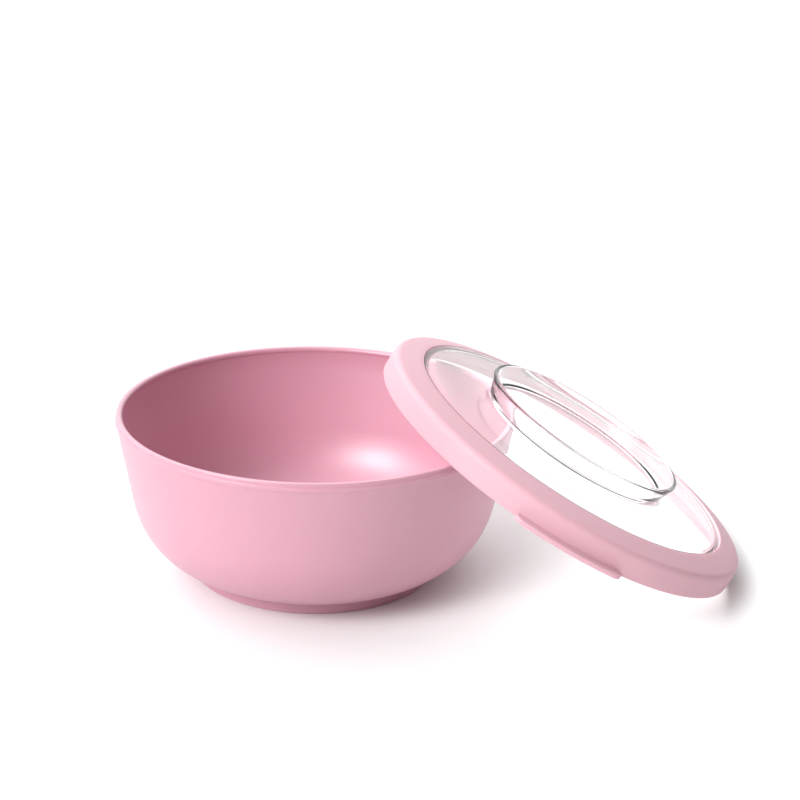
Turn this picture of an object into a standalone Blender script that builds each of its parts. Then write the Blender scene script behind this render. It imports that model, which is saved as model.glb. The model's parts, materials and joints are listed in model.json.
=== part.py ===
"""A lidded plastic bowl with its lid taken off and leaned against the rim.

The bowl stands on its foot ring. The lid's lower edge is on the same surface, and its skirt lies on
the bowl's rim at the two places where they cross. The lid is a clear pane held in the groove of a
soft ring. Metres, +Z up, with the origin under the middle of the whole set's bounding box.
"""

from math import cos, pi, radians, sin, tan

import bmesh
import bpy
from mathutils import Vector

MM = 0.001
STEPS = 72  # facets round each turned piece
FACET = 0.7  # about how long a facet is on a rounded corner, in millimetres
COLLECTION = "lidded_bowl"

# Bowl, in millimetres: radii from its own axis, heights from the surface it stands on
RIM_RADIUS = 75.0
HEIGHT = 62.9
LIP_OUTER = 74.5  # the lip is set in from the wall by a small step that the lid's skirt passes
LIP_INNER = 72.2
LIP_STEP_DROP = 1.5
LIP_ROUND = 1.1
LIP_OUTER_ROUND = 0.6
LIP_FACE = 1.5  # the lip's inner face ends this far down, a little proud of the wall below it
LIP_UNDERCUT = 0.25
LAND_END = (71.95, 55.0)  # the inside is nearly upright down to here, where the lid's plug seals
BEAD_DROP = 3.0  # an upright bead under the lip's step ends this far down
BEAD_PROUD = 0.3
WALL = 2.4
DRAFT_END = (69.3, 30.2)  # the wall's straight draft ends here and the lower curve starts
CURVE_END = (52.4, 6.4)  # the lower curve ends here, still rising outwards
CURVE_END_ANGLE = radians(27.5)
CURVE_PULL_TOP = 7.2
CURVE_PULL_BOTTOM = 13.6
FLOOR_TOP = 6.2
FLOOR_RADIUS = 36.0
FLOOR_PULL = 5.5
FOOT_RADIUS = 47.2
FOOT_WIDTH = 2.8
FOOT_TOP = 3.9
FOOT_ROUND = 0.6
BASE_RECESS = 3.6

# Lid, in millimetres, on its own axis: heights from the ring's outer edge, before it is rounded
RING_RADIUS = 77.4
RING_SHOULDER = -0.6  # the sloping top face would meet the skirt here
RING_INNER = 66.6
RING_RISE = 2.2  # the top face climbs to here at the pane
RING_CORNER = 2.8
SKIRT_DROP = 10.2
SKIRT_WALL = 2.0
SKIRT_ROUND = 0.5  # round the skirt's lower edge
CHANNEL_TOP = -2.5  # the bowl's lip goes up to here when the lid is closed
PLUG_OUTER = 71.9
PLUG_INNER = 70.3
PLUG_DROP = 6.0
LEG_INNER = 68.6  # the groove's lower leg, which keeps the pane in
LEG_WALL = 1.2
FIT_GAP = 0.3  # round the pane's edge in the groove
PANE_EDGE = 71.9
FLANGE_TOP = 0.4
FLANGE_WALL = 1.6
FLANGE_INNER = 65.9
STEP_RADIUS = 66.3  # the pane steps up here, just inside the ring
STEP_TOP = 2.5
STEP_WALL = 2.2
PLATE_TOP = 4.1  # the flat floor inside the collar
PLATE_WALL = 1.5
COLLAR_BASE = 36.6
COLLAR_FLARE = 2.9
COLLAR_WALL = 1.8
COLLAR_TOP = 11.7
COLLAR_ROUND = 0.8

# Pull tab, part of the ring: a flange along the skirt's lower edge
TAB_RADIUS = 82.2
TAB_WALL = 1.8
TAB_MIDDLE = radians(-94.0)
TAB_HALF = radians(15.6)
TAB_CORNER = 3.0
TAB_STEPS = 10  # straight stretches along its outer edge

# How the lid leans, towards +X, with its axis tilted about Y
LID_TILT = radians(29.65)
LID_OFFSET = 97.5  # from the bowl's axis to the lid's centre, along X

BOWL_PINK = (0.76, 0.42, 0.50)
RING_PINK = (0.80, 0.46, 0.53)
CLEAR = (0.93, 0.95, 0.96)


def bezier(start, pull_start, pull_end, end, count):
    """Points along a cubic curve, both ends included."""
    points = []
    for i in range(count + 1):
        t = i / count
        weights = ((1 - t) ** 3, 3 * (1 - t) ** 2 * t, 3 * (1 - t) * t * t, t**3)
        controls = (start, pull_start, pull_end, end)
        points.append(sum((w * c for w, c in zip(weights, controls)), Vector((0, 0))))
    return points


def rounded(corners):
    """A section's points in order. A corner is (r, z), or (r, z, radius) to be cut to an arc."""
    points = []
    for i, corner in enumerate(corners):
        here = Vector(corner[:2])
        if len(corner) == 2:
            points.append(here)
            continue
        before = (Vector(corners[i - 1][:2]) - here).normalized()
        after = (Vector(corners[(i + 1) % len(corners)][:2]) - here).normalized()
        half = before.angle(after) / 2
        radius = corner[2]
        centre = here + (before + after).normalized() * radius / sin(half)
        start = (here + before * radius / tan(half) - centre).normalized()
        end = (here + after * radius / tan(half) - centre).normalized()
        count = max(1, round(radius * (pi - 2 * half) / FACET))
        points += [centre + radius * start.slerp(end, k / count) for k in range(count + 1)]
    return points


def wall_curve(inset, count):
    """The bowl's wall from the end of its draft down its lower curve, set in by a thickness."""
    draft_end = Vector(DRAFT_END)
    down = (draft_end - Vector((RIM_RADIUS, HEIGHT - LIP_STEP_DROP))).normalized()
    inward = Vector((-cos(CURVE_END_ANGLE), -sin(CURVE_END_ANGLE)))
    start = draft_end + inset * Vector((down.y, -down.x))
    end = Vector(CURVE_END) + inset * Vector((inward.y, -inward.x))
    tighter = 1 - inset / (RIM_RADIUS - FOOT_RADIUS)
    pull_start = start + down * CURVE_PULL_TOP * tighter
    pull_end = end - inward * CURVE_PULL_BOTTOM * tighter
    return bezier(start, pull_start, pull_end, end, count)


def bowl_profile():
    """From the middle of the floor up the inside, over the lip, down the outside to the base."""
    inside = wall_curve(WALL, 7)
    slope = (inside[-1] - inside[-2]).normalized()
    floor_edge = Vector((FLOOR_RADIUS, FLOOR_TOP))
    to_floor = bezier(inside[-1], inside[-1] + slope * FLOOR_PULL,
                      floor_edge + Vector((FLOOR_PULL, 0)), floor_edge, 3)
    step = HEIGHT - LIP_STEP_DROP
    face_end = HEIGHT - LIP_FACE
    bead_end = HEIGHT - BEAD_DROP
    lip = rounded([
        inside[0], LAND_END, (LIP_INNER + LIP_UNDERCUT, face_end), (LIP_INNER, face_end + LIP_UNDERCUT),
        (LIP_INNER, HEIGHT, LIP_ROUND), (LIP_OUTER, HEIGHT, LIP_OUTER_ROUND), (LIP_OUTER, step),
        (RIM_RADIUS, step), (RIM_RADIUS, bead_end),
        (RIM_RADIUS - BEAD_PROUD, bead_end - BEAD_PROUD),
    ])[1:]
    outside = wall_curve(0, 8)
    foot_inner = FOOT_RADIUS - FOOT_WIDTH
    foot = rounded([outside[-1], (FOOT_RADIUS, FOOT_TOP, FOOT_ROUND), (FOOT_RADIUS, 0, FOOT_ROUND),
                    (foot_inner, 0, FOOT_ROUND), (foot_inner, BASE_RECESS, FOOT_ROUND),
                    (0, BASE_RECESS)])
    up_inside = [Vector((0, FLOOR_TOP))] + to_floor[::-1] + inside[-2::-1]
    return up_inside + lip + outside[:-1] + foot


def ring_profile():
    """The soft ring's section: top face, rounded corner, skirt, lip channel, plug and pane groove."""
    skirt_inner = RING_RADIUS - SKIRT_WALL
    groove_edge = PANE_EDGE + FIT_GAP
    groove_top = FLANGE_TOP + FIT_GAP
    leg_top = FLANGE_TOP - FLANGE_WALL - FIT_GAP
    return rounded([
        (RING_INNER, RING_RISE, SKIRT_ROUND), (RING_RADIUS, RING_SHOULDER, RING_CORNER),
        (RING_RADIUS, -SKIRT_DROP, SKIRT_ROUND), (skirt_inner, -SKIRT_DROP, SKIRT_ROUND),
        (skirt_inner, CHANNEL_TOP), (PLUG_OUTER, CHANNEL_TOP),
        (PLUG_OUTER, -PLUG_DROP, SKIRT_ROUND), (PLUG_INNER, -PLUG_DROP, SKIRT_ROUND),
        (PLUG_INNER, leg_top - LEG_WALL), (LEG_INNER, leg_top - LEG_WALL), (LEG_INNER, leg_top),
        (groove_edge, leg_top), (groove_edge, groove_top), (RING_INNER, groove_top),
    ])


def pane_profile():
    """From the middle of the plate out over the collar to the flange, and back underneath."""
    collar_top = COLLAR_BASE + COLLAR_FLARE
    flange_under = FLANGE_TOP - FLANGE_WALL
    return rounded([
        (0, PLATE_TOP), (COLLAR_BASE, PLATE_TOP, COLLAR_ROUND),
        (collar_top, COLLAR_TOP, COLLAR_ROUND), (collar_top + COLLAR_WALL, COLLAR_TOP, COLLAR_ROUND),
        (COLLAR_BASE + COLLAR_WALL, PLATE_TOP, COLLAR_ROUND), (STEP_RADIUS, STEP_TOP, COLLAR_ROUND),
        (STEP_RADIUS, FLANGE_TOP), (PANE_EDGE, FLANGE_TOP), (PANE_EDGE, flange_under),
        (FLANGE_INNER, flange_under), (STEP_RADIUS - STEP_WALL, STEP_TOP - PLATE_WALL),
        (COLLAR_BASE, PLATE_TOP - PLATE_WALL), (0, PLATE_TOP - PLATE_WALL),
    ])


def material(name, colour, roughness, transmission=0.0):
    made = bpy.data.materials.new(name)
    made.use_nodes = True
    shader = made.node_tree.nodes["Principled BSDF"]
    shader.inputs["Base Color"].default_value = (*colour, 1.0)
    shader.inputs["Roughness"].default_value = roughness
    shader.inputs["Metallic"].default_value = 0.0
    shader.inputs["Transmission Weight"].default_value = transmission
    made.diffuse_color = (*colour, 1.0 - transmission)
    return made


def turned(name, profile, closed, collection):
    """A profile in millimetres turned about the object's own Z axis."""
    mesh = bpy.data.meshes.new(name)
    edges = [(i, i + 1) for i in range(len(profile) - 1)]
    if closed:
        edges.append((len(profile) - 1, 0))
    mesh.from_pydata([(point.x * MM, 0, point.y * MM) for point in profile], edges, [])
    made = bpy.data.objects.new(name, mesh)
    collection.objects.link(made)
    screw = made.modifiers.new("turn", "SCREW")
    screw.steps = screw.render_steps = STEPS
    screw.use_merge_vertices = True
    screw.merge_threshold = 1e-5
    screw.use_smooth_shade = True
    return made


def polar(radius, angle):
    return Vector((cos(angle), sin(angle))) * radius


def tab_outline():
    """The tab's plan on the lid's axis: a stretch of flange with rounded outer corners."""
    inner = RING_RADIUS - SKIRT_WALL / 2
    turns = [TAB_MIDDLE + TAB_HALF * (2 * k / TAB_STEPS - 1) for k in range(TAB_STEPS + 1)]
    outer = [tuple(polar(TAB_RADIUS, a)) for a in turns]
    outer[0] += (TAB_CORNER,)
    outer[-1] += (TAB_CORNER,)
    return rounded(outer + [polar(inner, a) for a in turns[::-1]])


def pull_tab(collection):
    """A flat plate, made as a filled outline and turned into a mesh for the union."""
    curve = bpy.data.curves.new("tab_outline", "CURVE")
    curve.dimensions = "2D"
    curve.fill_mode = "BOTH"
    curve.extrude = TAB_WALL / 2 * MM
    outline = tab_outline()
    spline = curve.splines.new("POLY")
    spline.points.add(len(outline) - 1)
    for point, place in zip(spline.points, outline):
        point.co = (place.x * MM, place.y * MM, 0, 1)
    spline.use_cyclic_u = True
    guide = bpy.data.objects.new("tab_guide", curve)
    collection.objects.link(guide)
    graph = bpy.context.evaluated_depsgraph_get()
    mesh = bpy.data.meshes.new_from_object(guide.evaluated_get(graph))
    bpy.data.objects.remove(guide)
    welded = bmesh.new()
    welded.from_mesh(mesh)
    bmesh.ops.remove_doubles(welded, verts=welded.verts, dist=1e-6)
    bmesh.ops.recalc_face_normals(welded, faces=welded.faces)
    welded.to_mesh(mesh)
    welded.free()
    tab = bpy.data.objects.new("tab_plate", mesh)
    collection.objects.link(tab)
    tab.location.z = (TAB_WALL / 2 - SKIRT_DROP) * MM
    tab.hide_render = True
    tab.display_type = "WIRE"
    return tab


def leaning_frame(middle_x, middle_y):
    """An empty on the lid's axis, level with the ring's outer edge, tilted as the lid leans."""
    height = (RING_RADIUS - SKIRT_ROUND) * sin(LID_TILT) + SKIRT_DROP * cos(LID_TILT)
    frame = bpy.data.objects.new("lid_frame", None)
    frame.location = Vector((LID_OFFSET - middle_x, -middle_y, height)) * MM
    frame.rotation_euler = (0, LID_TILT, 0)
    return frame


def main():
    for old in list(bpy.data.objects):
        bpy.data.objects.remove(old, do_unlink=True)
    parts = bpy.data.collections.new(COLLECTION)
    helpers = bpy.data.collections.new("helpers")
    for collection in (parts, helpers):
        bpy.context.scene.collection.children.link(collection)

    # The box runs from the bowl's rim to the lid's rounded edge along X, and to the tab along Y.
    round_out = RING_RADIUS - RING_CORNER
    lid_reach = LID_OFFSET + round_out * cos(LID_TILT) + RING_CORNER * (1 - sin(LID_TILT))
    middle_x = (lid_reach - RIM_RADIUS) / 2
    middle_y = (RING_RADIUS + TAB_RADIUS * sin(TAB_MIDDLE)) / 2

    bowl = turned("bowl", bowl_profile(), False, parts)
    bowl.location = Vector((-middle_x, -middle_y, 0)) * MM
    bowl.data.materials.append(material("bowl_plastic", BOWL_PINK, 0.38))

    frame = leaning_frame(middle_x, middle_y)
    helpers.objects.link(frame)
    ring = turned("lid_ring", ring_profile(), True, parts)
    ring.data.materials.append(material("ring_elastomer", RING_PINK, 0.55))
    pane = turned("lid_window", pane_profile(), False, parts)
    pane.data.materials.append(material("clear_plastic", CLEAR, 0.04, transmission=0.8))
    tab = pull_tab(helpers)
    for piece in (ring, pane, tab):
        piece.parent = frame
    join = ring.modifiers.new("tab", "BOOLEAN")
    join.operation = "UNION"
    join.object = tab
    for piece in (bowl, ring, pane):
        piece.modifiers.new("even_shading", "WEIGHTED_NORMAL")


main()
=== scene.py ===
"""Looks for a lidded bowl: satin pink plastic, with a clear, soft-edged lid leaned on its rim.

The frame says where the bowl stands and how the lid leans. Each visible piece is a finer mesh than
the CAD node that it replaces: its main sizes are the node's, and its small edges are its own. Sizes
below are in millimetres.
"""

import json
from math import cos, log, pi, radians, sin, tan

import bpy
from mathutils import Matrix, Vector


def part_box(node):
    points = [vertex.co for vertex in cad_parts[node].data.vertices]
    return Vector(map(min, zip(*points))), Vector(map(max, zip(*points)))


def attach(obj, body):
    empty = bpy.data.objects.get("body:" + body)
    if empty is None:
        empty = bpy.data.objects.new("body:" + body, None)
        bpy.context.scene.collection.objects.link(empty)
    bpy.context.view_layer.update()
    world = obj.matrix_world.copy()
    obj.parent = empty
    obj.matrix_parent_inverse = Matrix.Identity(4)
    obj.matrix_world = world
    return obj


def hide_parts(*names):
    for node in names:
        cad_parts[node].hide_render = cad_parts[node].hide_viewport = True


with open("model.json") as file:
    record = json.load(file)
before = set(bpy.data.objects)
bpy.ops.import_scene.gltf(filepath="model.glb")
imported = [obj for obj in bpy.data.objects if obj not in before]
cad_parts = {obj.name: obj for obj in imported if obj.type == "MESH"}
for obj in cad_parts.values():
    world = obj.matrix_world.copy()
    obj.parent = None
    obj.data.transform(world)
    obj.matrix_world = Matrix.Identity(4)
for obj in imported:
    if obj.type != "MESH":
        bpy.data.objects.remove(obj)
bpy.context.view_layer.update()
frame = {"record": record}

MM = 0.001
TURN_STEPS = 288  # facets round each turned piece
FACET = 0.22  # about how long a facet is on a rounded corner
FINE_FACET = 2.0  # about how long a flat stretch of the ring's section is
WIDE_FACET = 3.0  # and of the bowl's and the pane's
INSIDE_STEPS = 28  # stretches along the bowl's lower curve, inside
OUTSIDE_STEPS = 32  # and outside
FLOOR_STEPS = 10  # stretches from the inside's curve into the floor
SHARP_ANGLE = radians(38)  # edges sharper than this aren't smoothed over
CRISP = 0.1  # a corner's radius where it is only just softened

# Bowl: radii from its axis, heights from the floor
LIP_IN = 0.5  # the lip is set in from the wall's top by this step
LIP_WALL = 2.3
LIP_DROP = 1.5
STEP_EDGE_ROUND = 0.3
LIP_ROUND = 1.3
LIP_OUTER_ROUND = 0.5
LIP_FACE = 2.0  # the lip's inner face ends this far down, a little proud of the wall below it
LIP_UNDERCUT = 0.25
LAND_END = (71.95, 55.0)  # the inside is nearly upright down to here, where the lid's plug seals
LAND_EASE = 25.0  # the radius of the bend there
BEAD_DROP = 3.0  # an upright bead under the lip's step ends this far down
BEAD_PROUD = 0.3
BEAD_ROUND = 0.2
WALL = 2.4
DRAFT_END = (69.3, 30.2)
CURVE_END = (52.4, 6.4)
CURVE_END_ANGLE = radians(27.5)
CURVE_PULL_TOP = 7.2
CURVE_PULL_BOTTOM = 13.6
FLOOR_TOP = 6.2
FLOOR_RADIUS = 36.0
FLOOR_PULL = 5.5
FOOT_RADIUS = 47.2
FOOT_WIDTH = 2.8
FOOT_TOP = 3.9
FOOT_ROUND = 0.6
BASE_RECESS = 3.6
GATE_RADIUS = 2.6  # the moulding gate's shallow dish, in the middle underneath
GATE_DEPTH = 0.5
GATE_TAPER = 0.8  # the radius of its bottom over the radius of its mouth
GATE_ROUND = 0.4

# Lid: radii from its axis, heights from its own origin on that axis
RING_RADIUS = 77.4
RING_SHOULDER = -0.6  # the sloping top face would meet the skirt here, if the corner weren't rounded
RING_INNER = 66.6
RING_RISE = 2.2  # the top face climbs to here at the pane
RING_CORNER = 2.8
SKIRT_DROP = 10.2
SKIRT_WALL = 2.0
SKIRT_ROUND = 0.5
SKIRT_OUTER_ROUND = 0.72  # the edge that the leaned lid rests on
CHANNEL_TOP = -2.5
CHANNEL_ROUND = 0.6
PLUG_OUTER = 71.9
PLUG_INNER = 70.3
PLUG_DROP = 6.0
RIB_DEPTH = 0.25  # two sealing ribs round the plug
RIB_HEIGHTS = (-3.7, -5.0)
RIB_FOOT = 0.45  # half a rib's height at the plug, and at its crest
RIB_CREST = 0.1
LEG_INNER = 68.6
LEG_WALL = 1.2
LEG_ROUND = 0.3
GROOVE_ROUND = 0.15
RING_INNER_ROUND = 0.2
FIT_GAP = 0.3
PANE_EDGE = 71.9
FLANGE_TOP = 0.4
FLANGE_WALL = 1.6
FLANGE_INNER = 65.9
FLANGE_ROUND = 0.2
FLANGE_INNER_ROUND = 0.4
STEP_RADIUS = 66.3
STEP_TOP = 2.1
STEP_WALL = 2.2
PLATE_TOP = 4.1
PLATE_WALL = 1.5
COLLAR_BASE = 36.6
COLLAR_FLARE = 2.9
COLLAR_WALL = 1.8
COLLAR_TOP = 11.7
COLLAR_ROUND = 0.8
COLLAR_ROOT_ROUND = 0.08
STEP_ROUND = 0.12
STEP_ROOT_ROUND = 0.3
STEP_UNDER_ROUND = 0.8
UNDER_ROUND = 1.5  # underneath, below the collar's foot

# Pull tab
TAB_RADIUS = 82.18  # the CAD tab's coarser outline reaches no further
TAB_WALL = 1.8
TAB_MIDDLE = radians(-94.0)
TAB_HALF = radians(15.6)
TAB_CORNER = 3.0
TAB_CORNER_KEEP_OFF = 1.2  # how much of the outline a corner takes, times its radius
TAB_STEPS = 48
TAB_EDGE_ROUND = 0.4
TAB_EDGE_STEPS = 3
TAB_EDGE_ANGLE = radians(60)  # only the plate's own corners are bevelled, not its curved outline

# Camera, from the bowl's axis on the floor
CAMERA_PLACE = (6.0, -669.9, 311.4)
CAMERA_PITCH = radians(20.06)  # downwards
CAMERA_YAW = radians(2.21)  # towards +X
CAMERA_ROLL = radians(1.41)
CAMERA_LENS = 85.0
CAMERA_SENSOR = 36.0

# Far soft lamps: azimuth from +X towards +Y, elevation, half width in degrees, and strength
LAMPS = (
    (222, 36, 12, 18.0),  # key, from the front left
    (140, 45, 28, 2.6),  # fill, from behind on the left
    (75, 25, 30, 1.65),  # white backdrop
    (0, 90, 28, 0.6),  # overhead
)
ROOM_LIGHT = 0.04
ROOM_THROUGH_PANE = 0.3  # added to it where the room is seen through the clear pane
FLOOR_WHITE = 0.82
FLOOR_ROUGHNESS = 0.9
FLOOR_HALF = 6.0  # metres

PINK = (0.60, 0.295, 0.375)
RING_PINK = (0.66, 0.385, 0.445)
CLEAR = (0.95, 0.958, 0.955)
PLASTIC_IOR = 1.49
CLEAR_IOR = 1.3  # under clear plastic's 1.5, which draws its edges too dark
HAZE_ROUGHNESS = 0.03
HAZE_SCALE = 60.0
TINT_DRIFT = 0.015  # how far the tint drifts either way
TINT_SCALE = 18.0
TINT_RANGE = (0.35, 0.65)  # the tint drifts while the noise goes from one to the other
NOISE_RANGE = (0.3, 0.7)  # nearly all of a noise lies between these
BUMP_STRENGTH = 0.35
ROUGHNESS_SPREAD = 0.03
LIGHT_REACH = (1.0, 0.45, 0.5)  # how far red, green and blue go inside the plastic, times REACH_SCALE
REACH_SCALE = 0.0015  # metres

bowl_low, bowl_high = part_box("bowl")
BOWL_AXIS = (bowl_low + bowl_high) / 2
RIM_RADIUS = (bowl_high.x - bowl_low.x) / 2 / MM
HEIGHT = bowl_high.z / MM
PLATE = next(m for m in frame["record"]["mounts"] if m["name"] == "lid_plate")
LID_AXIS = Vector(PLATE["axis"]).normalized()
LID_PLACE = Vector(PLATE["pos_m"]) - LID_AXIS * PLATE_TOP * MM


def bezier(start, pull_start, pull_end, end, count):
    """Points along a cubic curve, both ends included."""
    points = []
    for i in range(count + 1):
        t = i / count
        weights = ((1 - t) ** 3, 3 * (1 - t) ** 2 * t, 3 * (1 - t) * t * t, t**3)
        controls = (start, pull_start, pull_end, end)
        points.append(sum((w * c for w, c in zip(weights, controls)), Vector((0, 0))))
    return points


def rounded(corners):
    """A section's points in order. A corner is (r, z), or (r, z, radius) to be cut to an arc."""
    points = []
    for i, corner in enumerate(corners):
        here = Vector(corner[:2])
        if len(corner) == 2:
            points.append(here)
            continue
        before = (Vector(corners[i - 1][:2]) - here).normalized()
        after = (Vector(corners[(i + 1) % len(corners)][:2]) - here).normalized()
        half = before.angle(after) / 2
        radius = corner[2]
        centre = here + (before + after).normalized() * radius / sin(half)
        start = (here + before * radius / tan(half) - centre).normalized()
        end = (here + after * radius / tan(half) - centre).normalized()
        count = max(3, round(radius * (pi - 2 * half) / FACET))
        points += [centre + radius * start.slerp(end, k / count) for k in range(count + 1)]
    return points


def evenly(points, spacing):
    """The same line with its long stretches cut to about this spacing, so that facets stay regular."""
    line = [points[0]]
    for a, b in zip(points, points[1:]):
        count = max(1, round((b - a).length / spacing))
        line += [a.lerp(b, k / count) for k in range(1, count + 1)]
    return line


def wall_curve(inset, count):
    """The bowl's wall from the end of its draft down its lower curve, set in by a thickness."""
    draft_end = Vector(DRAFT_END)
    down = (draft_end - Vector((RIM_RADIUS, HEIGHT - LIP_DROP))).normalized()
    inward = Vector((-cos(CURVE_END_ANGLE), -sin(CURVE_END_ANGLE)))
    start = draft_end + inset * Vector((down.y, -down.x))
    end = Vector(CURVE_END) + inset * Vector((inward.y, -inward.x))
    tighter = 1 - inset / (RIM_RADIUS - FOOT_RADIUS)
    pull_start = start + down * CURVE_PULL_TOP * tighter
    pull_end = end - inward * CURVE_PULL_BOTTOM * tighter
    return bezier(start, pull_start, pull_end, end, count)


def bowl_profile():
    """From the middle of the floor up the inside, over the lip, down the outside to the base."""
    inside = wall_curve(WALL, INSIDE_STEPS)
    slope = (inside[-1] - inside[-2]).normalized()
    floor_edge = Vector((FLOOR_RADIUS, FLOOR_TOP))
    to_floor = bezier(inside[-1], inside[-1] + slope * FLOOR_PULL,
                      floor_edge + Vector((FLOOR_PULL, 0)), floor_edge, FLOOR_STEPS)
    step = HEIGHT - LIP_DROP
    lip_outer = RIM_RADIUS - LIP_IN
    lip_inner = lip_outer - LIP_WALL
    face_end = HEIGHT - LIP_FACE
    bead_end = HEIGHT - BEAD_DROP
    lip = rounded([
        inside[0], (*LAND_END, LAND_EASE), (lip_inner + LIP_UNDERCUT, face_end, CRISP),
        (lip_inner, face_end + LIP_UNDERCUT, CRISP), (lip_inner, HEIGHT, LIP_ROUND),
        (lip_outer, HEIGHT, LIP_OUTER_ROUND), (lip_outer, step, CRISP),
        (RIM_RADIUS, step, STEP_EDGE_ROUND), (RIM_RADIUS, bead_end, BEAD_ROUND),
        (RIM_RADIUS - BEAD_PROUD, bead_end - BEAD_PROUD, STEP_EDGE_ROUND), DRAFT_END,
    ])[1:-1]
    outside = wall_curve(0, OUTSIDE_STEPS)
    foot_inner = FOOT_RADIUS - FOOT_WIDTH
    foot = rounded([outside[-1], (FOOT_RADIUS, FOOT_TOP, FOOT_ROUND), (FOOT_RADIUS, 0, FOOT_ROUND),
                    (foot_inner, 0, FOOT_ROUND), (foot_inner, BASE_RECESS, FOOT_ROUND),
                    (GATE_RADIUS, BASE_RECESS, GATE_ROUND),
                    (GATE_RADIUS * GATE_TAPER, BASE_RECESS + GATE_DEPTH, GATE_ROUND),
                    (0, BASE_RECESS + GATE_DEPTH)])
    up_inside = [Vector((0, FLOOR_TOP))] + to_floor[::-1] + inside[-2::-1]
    return evenly(up_inside + lip + outside[:-1] + foot, WIDE_FACET)


def plug_side():
    """The plug's outer side with its two sealing ribs."""
    side = []
    for height in RIB_HEIGHTS:
        side += [(PLUG_OUTER - RIB_DEPTH, height + RIB_FOOT), (PLUG_OUTER, height + RIB_CREST)]
        side += [(PLUG_OUTER, height - RIB_CREST), (PLUG_OUTER - RIB_DEPTH, height - RIB_FOOT)]
    return side


def ring_profile():
    """The soft ring's section: top face, rounded corner, skirt, lip channel, plug and pane groove."""
    skirt_inner = RING_RADIUS - SKIRT_WALL
    groove_edge = PANE_EDGE + FIT_GAP
    groove_top = FLANGE_TOP + FIT_GAP
    leg_top = FLANGE_TOP - FLANGE_WALL - FIT_GAP
    plug = PLUG_OUTER - RIB_DEPTH
    section = rounded([
        (RING_INNER, RING_RISE, RING_INNER_ROUND), (RING_RADIUS, RING_SHOULDER, RING_CORNER),
        (RING_RADIUS, -SKIRT_DROP, SKIRT_OUTER_ROUND), (skirt_inner, -SKIRT_DROP, SKIRT_ROUND),
        (skirt_inner, CHANNEL_TOP, CHANNEL_ROUND), (plug, CHANNEL_TOP, CHANNEL_ROUND),
        *plug_side(), (plug, -PLUG_DROP, SKIRT_ROUND), (PLUG_INNER, -PLUG_DROP, SKIRT_ROUND),
        (PLUG_INNER, leg_top - LEG_WALL, LEG_ROUND), (LEG_INNER, leg_top - LEG_WALL, LEG_ROUND),
        (LEG_INNER, leg_top, LEG_ROUND), (groove_edge, leg_top), (groove_edge, groove_top),
        (RING_INNER, groove_top, GROOVE_ROUND),
    ])
    return evenly(section + [section[0]], FINE_FACET)[:-1]


def pane_profile():
    """From the middle of the plate out over the collar to the flange, and back underneath."""
    collar_top = COLLAR_BASE + COLLAR_FLARE
    flange_under = FLANGE_TOP - FLANGE_WALL
    under = PLATE_TOP - PLATE_WALL
    section = rounded([
        (0, PLATE_TOP), (COLLAR_BASE, PLATE_TOP, COLLAR_ROOT_ROUND),
        (collar_top, COLLAR_TOP, COLLAR_ROUND), (collar_top + COLLAR_WALL, COLLAR_TOP, COLLAR_ROUND),
        (COLLAR_BASE + COLLAR_WALL, PLATE_TOP, COLLAR_ROOT_ROUND), (STEP_RADIUS, STEP_TOP, STEP_ROUND),
        (STEP_RADIUS, FLANGE_TOP, STEP_ROOT_ROUND), (PANE_EDGE, FLANGE_TOP, FLANGE_ROUND),
        (PANE_EDGE, flange_under, FLANGE_ROUND), (FLANGE_INNER, flange_under, FLANGE_INNER_ROUND),
        (STEP_RADIUS - STEP_WALL, STEP_TOP - PLATE_WALL, STEP_UNDER_ROUND),
        (COLLAR_BASE, under, UNDER_ROUND), (0, under),
    ])
    return evenly(section, WIDE_FACET)


def piece_of(name, mesh):
    """A new object in the scene that holds this data."""
    made = bpy.data.objects.new(name, mesh)
    bpy.context.scene.collection.objects.link(made)
    return made


def applied(piece):
    """The piece with its modifiers turned into plain mesh."""
    graph = bpy.context.evaluated_depsgraph_get()
    mesh = bpy.data.meshes.new_from_object(piece.evaluated_get(graph))
    piece.modifiers.clear()
    piece.data = mesh
    mesh.name = piece.name
    return piece


def turned(name, profile, closed):
    """A profile turned about the piece's own Z axis, as plain mesh."""
    mesh = bpy.data.meshes.new(name)
    edges = [(i, i + 1) for i in range(len(profile) - 1)]
    if closed:
        edges.append((len(profile) - 1, 0))
    mesh.from_pydata([(point.x * MM, 0, point.y * MM) for point in profile], edges, [])
    made = piece_of(name, mesh)
    screw = made.modifiers.new("turn", "SCREW")
    screw.steps = screw.render_steps = TURN_STEPS
    screw.use_merge_vertices = True
    screw.merge_threshold = 1e-6
    screw.use_smooth_shade = True
    return applied(made)


def shade(piece):
    """Smooth shading that stops at sharp edges."""
    piece.data.shade_smooth()
    piece.data.set_sharp_from_angle(angle=SHARP_ANGLE)


def tab_outline():
    """The tab's plan on the lid's axis: a stretch of flange with rounded outer corners."""
    inner = RING_RADIUS - SKIRT_WALL / 2
    turns = [TAB_MIDDLE + TAB_HALF * (2 * k / TAB_STEPS - 1) for k in range(TAB_STEPS + 1)]
    keep_off = TAB_CORNER * TAB_CORNER_KEEP_OFF / TAB_RADIUS  # no points where a corner's arc goes
    along = [a for a in turns[1:-1] if abs(a - TAB_MIDDLE) < TAB_HALF - keep_off]
    ends = [(TAB_RADIUS * cos(a), TAB_RADIUS * sin(a), TAB_CORNER) for a in (turns[0], turns[-1])]
    outer = [(TAB_RADIUS * cos(a), TAB_RADIUS * sin(a)) for a in along]
    inner_side = [(inner * cos(a), inner * sin(a)) for a in turns[::-1]]
    return rounded([ends[0], *outer, ends[1], *inner_side])


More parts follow.
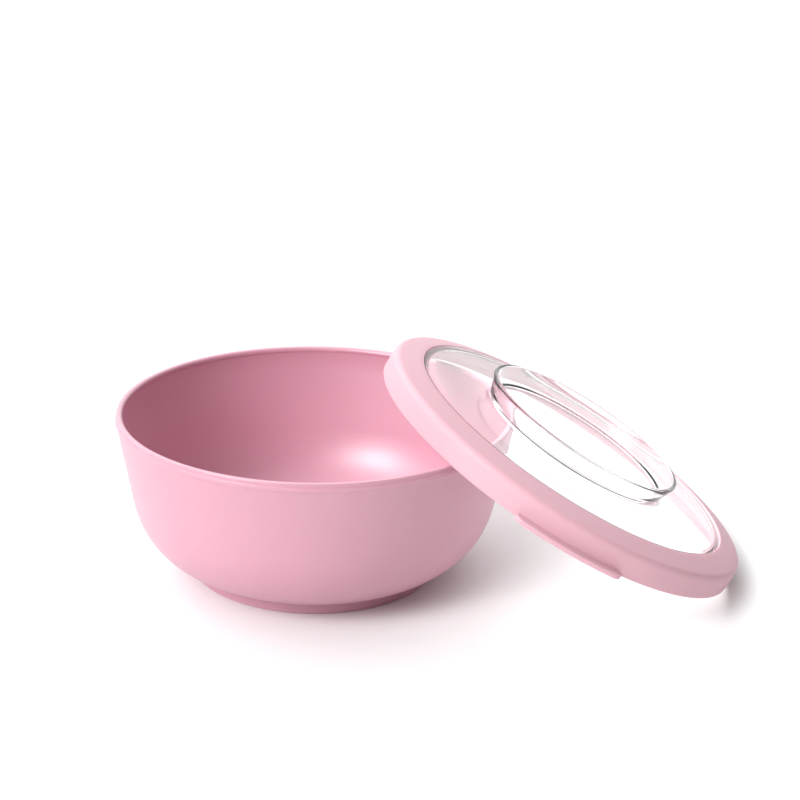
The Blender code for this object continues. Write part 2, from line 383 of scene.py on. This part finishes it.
def tab_plate():
    """The pull tab as a plate with softened edges, on the lid's axis."""
    outline = tab_outline()
    low = -SKIRT_DROP * MM
    count = len(outline)
    rings = [[(p.x * MM, p.y * MM, z) for p in outline] for z in (low, low + TAB_WALL * MM)]
    sides = [(i, (i + 1) % count, count + (i + 1) % count, count + i) for i in range(count)]
    caps = [tuple(range(count))[::-1], tuple(range(count, 2 * count))]
    mesh = bpy.data.meshes.new("tab_plate")
    mesh.from_pydata(rings[0] + rings[1], [], sides + caps)
    plate = piece_of("tab_plate", mesh)
    bevel = plate.modifiers.new("soft_edges", "BEVEL")
    bevel.width = TAB_EDGE_ROUND * MM
    bevel.segments = TAB_EDGE_STEPS
    bevel.limit_method = "ANGLE"
    bevel.angle_limit = TAB_EDGE_ANGLE
    return applied(plate)


def lean(piece):
    """Puts a piece made on the lid's axis where the lid leans, and keeps its points there."""
    tilt = Vector((0, 0, 1)).rotation_difference(LID_AXIS).to_matrix().to_4x4()
    piece.data.transform(Matrix.Translation(LID_PLACE) @ tilt)


def bowl_piece():
    """The bowl on its own axis."""
    bowl = turned("bowl_shell", bowl_profile(), False)
    bowl.data.transform(Matrix.Translation((BOWL_AXIS.x, BOWL_AXIS.y, 0)))
    return bowl


def ring_piece():
    """The soft ring with its pull tab, leaned."""
    ring = turned("lid_soft_ring", ring_profile(), True)
    tab = tab_plate()
    join = ring.modifiers.new("tab", "BOOLEAN")
    join.operation = "UNION"
    join.object = tab
    applied(ring)
    bpy.data.objects.remove(tab)
    lean(ring)
    return ring


def pane_piece():
    """The clear pane, leaned."""
    pane = turned("lid_clear_pane", pane_profile(), False)
    pane.visible_shadow = False  # it is clear and thin: the lamps reach the floor through it
    lean(pane)
    return pane


def new_material(name):
    """A material with its nodes and links."""
    made = bpy.data.materials.new(name)
    made.use_nodes = True
    return made, made.node_tree.nodes, made.node_tree.links


def noise(nodes, links, place, scale, detail):
    """A noise texture fed by the object's own place, in metres."""
    made = nodes.new("ShaderNodeTexNoise")
    made.inputs["Scale"].default_value = scale
    made.inputs["Detail"].default_value = detail
    links.new(place.outputs["Object"], made.inputs["Vector"])
    return made


def remap(nodes, links, source, low, high):
    """A noise's own range, turned into the range from low to high."""
    made = nodes.new("ShaderNodeMapRange")
    made.inputs["From Min"].default_value = NOISE_RANGE[0]
    made.inputs["From Max"].default_value = NOISE_RANGE[1]
    made.inputs["To Min"].default_value = low
    made.inputs["To Max"].default_value = high
    links.new(source, made.inputs["Value"])
    return made.outputs["Result"]


def tinted(nodes, links, source, dark, light):
    """A colour that drifts between two close tints with a noise."""
    ramp = nodes.new("ShaderNodeValToRGB")
    ramp.color_ramp.elements[0].position = TINT_RANGE[0]
    ramp.color_ramp.elements[1].position = TINT_RANGE[1]
    ramp.color_ramp.elements[0].color = (*dark, 1)
    ramp.color_ramp.elements[1].color = (*light, 1)
    links.new(source, ramp.inputs["Fac"])
    return ramp.outputs["Color"]


def moulded(name, colour, roughness, specular, grain_scale, grain_depth, subsurface):
    """Coloured plastic: a faint drift of tint, a fine moulded grain and a little light inside."""
    made, nodes, links = new_material(name)
    shader = nodes["Principled BSDF"]
    place = nodes.new("ShaderNodeTexCoord")
    drifting = noise(nodes, links, place, TINT_SCALE, detail=3.0)
    dark = tuple(c * (1 - TINT_DRIFT) for c in colour)
    light = tuple(min(1.0, c * (1 + TINT_DRIFT)) for c in colour)
    links.new(tinted(nodes, links, drifting.outputs["Fac"], dark, light), shader.inputs["Base Color"])
    grain = noise(nodes, links, place, grain_scale, detail=2.0)
    rough = remap(nodes, links, grain.outputs["Fac"],
                  roughness - ROUGHNESS_SPREAD, roughness + ROUGHNESS_SPREAD)
    links.new(rough, shader.inputs["Roughness"])
    bump = nodes.new("ShaderNodeBump")
    bump.inputs["Strength"].default_value = BUMP_STRENGTH
    bump.inputs["Distance"].default_value = grain_depth
    links.new(grain.outputs["Fac"], bump.inputs["Height"])
    links.new(bump.outputs["Normal"], shader.inputs["Normal"])
    shader.inputs["IOR"].default_value = PLASTIC_IOR
    shader.inputs["Specular IOR Level"].default_value = specular
    shader.inputs["Subsurface Weight"].default_value = subsurface
    shader.inputs["Subsurface Radius"].default_value = LIGHT_REACH
    shader.inputs["Subsurface Scale"].default_value = REACH_SCALE
    return made


def clear_plastic():
    """Clear plastic with the faintest haze."""
    made, nodes, links = new_material("clear_pane_plastic")
    shader = nodes["Principled BSDF"]
    shader.inputs["Base Color"].default_value = (*CLEAR, 1)
    shader.inputs["Transmission Weight"].default_value = 1.0
    shader.inputs["IOR"].default_value = CLEAR_IOR
    place = nodes.new("ShaderNodeTexCoord")
    haze = noise(nodes, links, place, HAZE_SCALE, detail=4.0)
    rough = remap(nodes, links, haze.outputs["Fac"], 0.0, HAZE_ROUGHNESS)
    links.new(rough, shader.inputs["Roughness"])
    return made


def dress(piece, body, node, surface):
    """Gives a piece its material, and says what it rides on and replaces."""
    piece.data.materials.clear()
    piece.data.materials.append(surface)
    shade(piece)
    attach(piece, body)
    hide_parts(node)


def camera():
    """The camera, at the height, distance and turn given above."""
    data = bpy.data.cameras.new("camera")
    data.lens = CAMERA_LENS
    data.sensor_width = CAMERA_SENSOR
    made = piece_of("camera", data)
    turn = Matrix.Rotation(-CAMERA_YAW, 4, "Z") @ Matrix.Rotation(pi / 2 - CAMERA_PITCH, 4, "X")
    place = Vector(CAMERA_PLACE) * MM + Vector((BOWL_AXIS.x, BOWL_AXIS.y, 0))
    made.matrix_world = Matrix.Translation(place) @ turn @ Matrix.Rotation(CAMERA_ROLL, 4, "Z")
    bpy.context.scene.camera = made


def reckoned(nodes, links, operation, first, second=None):
    """A maths node's answer. Each of its two sides is a socket or a number."""
    made = nodes.new("ShaderNodeMath")
    made.operation = operation
    for socket, side in zip(made.inputs, (first, second)):
        if isinstance(side, (int, float)):
            socket.default_value = side
        elif side is not None:
            links.new(side, socket)
    return made.outputs["Value"]


def soft_lamp(nodes, links, place, azimuth, elevation, half_width, strength):
    """A far round lamp with a soft edge. It stands at this azimuth, from +X towards +Y, and elevation,
    and it fades to half its strength at half_width from its middle. Angles are in degrees."""
    a, e = radians(azimuth), radians(elevation)
    facing = nodes.new("ShaderNodeVectorMath")
    facing.operation = "DOT_PRODUCT"
    facing.inputs[1].default_value = (cos(e) * cos(a), cos(e) * sin(a), sin(e))
    links.new(place.outputs["Generated"], facing.inputs[0])
    off = reckoned(nodes, links, "SUBTRACT", facing.outputs["Value"], 1.0)
    steep = reckoned(nodes, links, "MULTIPLY", off, log(2) / (1 - cos(radians(half_width))))
    fade = reckoned(nodes, links, "EXPONENT", steep)
    return reckoned(nodes, links, "MULTIPLY", fade, strength)


def studio():
    """The soft lamps and the room's own light, all in the world, and colours shown as they are."""
    world = bpy.data.worlds.new("studio")
    bpy.context.scene.world = world
    world.use_nodes = True
    nodes, links = world.node_tree.nodes, world.node_tree.links
    place = nodes.new("ShaderNodeTexCoord")
    path = nodes.new("ShaderNodeLightPath")
    through = reckoned(nodes, links, "MULTIPLY", path.outputs["Is Transmission Ray"], ROOM_THROUGH_PANE)
    light = reckoned(nodes, links, "ADD", through, ROOM_LIGHT)
    for lamp in LAMPS:
        light = reckoned(nodes, links, "ADD", soft_lamp(nodes, links, place, *lamp), light)
    sky = nodes["Background"]
    sky.inputs["Color"].default_value = (1, 1, 1, 1)
    links.new(light, sky.inputs["Strength"])
    bpy.context.scene.view_settings.view_transform = "Standard"
    bpy.context.scene.view_settings.look = "None"


def floor():
    """A plain pale sheet under everything."""
    mesh = bpy.data.meshes.new("floor")
    half = FLOOR_HALF
    mesh.from_pydata([(-half, -half, 0), (half, -half, 0), (half, half, 0), (-half, half, 0)], [],
                     [(0, 1, 2, 3)])
    made = piece_of("floor", mesh)
    paper, nodes, _ = new_material("pale_paper")
    shader = nodes["Principled BSDF"]
    shader.inputs["Base Color"].default_value = (FLOOR_WHITE,) * 3 + (1,)
    shader.inputs["Roughness"].default_value = FLOOR_ROUGHNESS
    made.data.materials.append(paper)


camera()
studio()
floor()
dress(bowl_piece(), "bowl", "bowl",
      moulded("satin_pink_plastic", PINK, roughness=0.38, specular=1.0,
              grain_scale=2600.0, grain_depth=0.00002, subsurface=0.15))
dress(ring_piece(), "lid", "lid_ring",
      moulded("soft_pink_elastomer", RING_PINK, roughness=0.55, specular=0.5,
              grain_scale=1800.0, grain_depth=0.00003, subsurface=0.25))
dress(pane_piece(), "lid", "lid_window", clear_plastic())
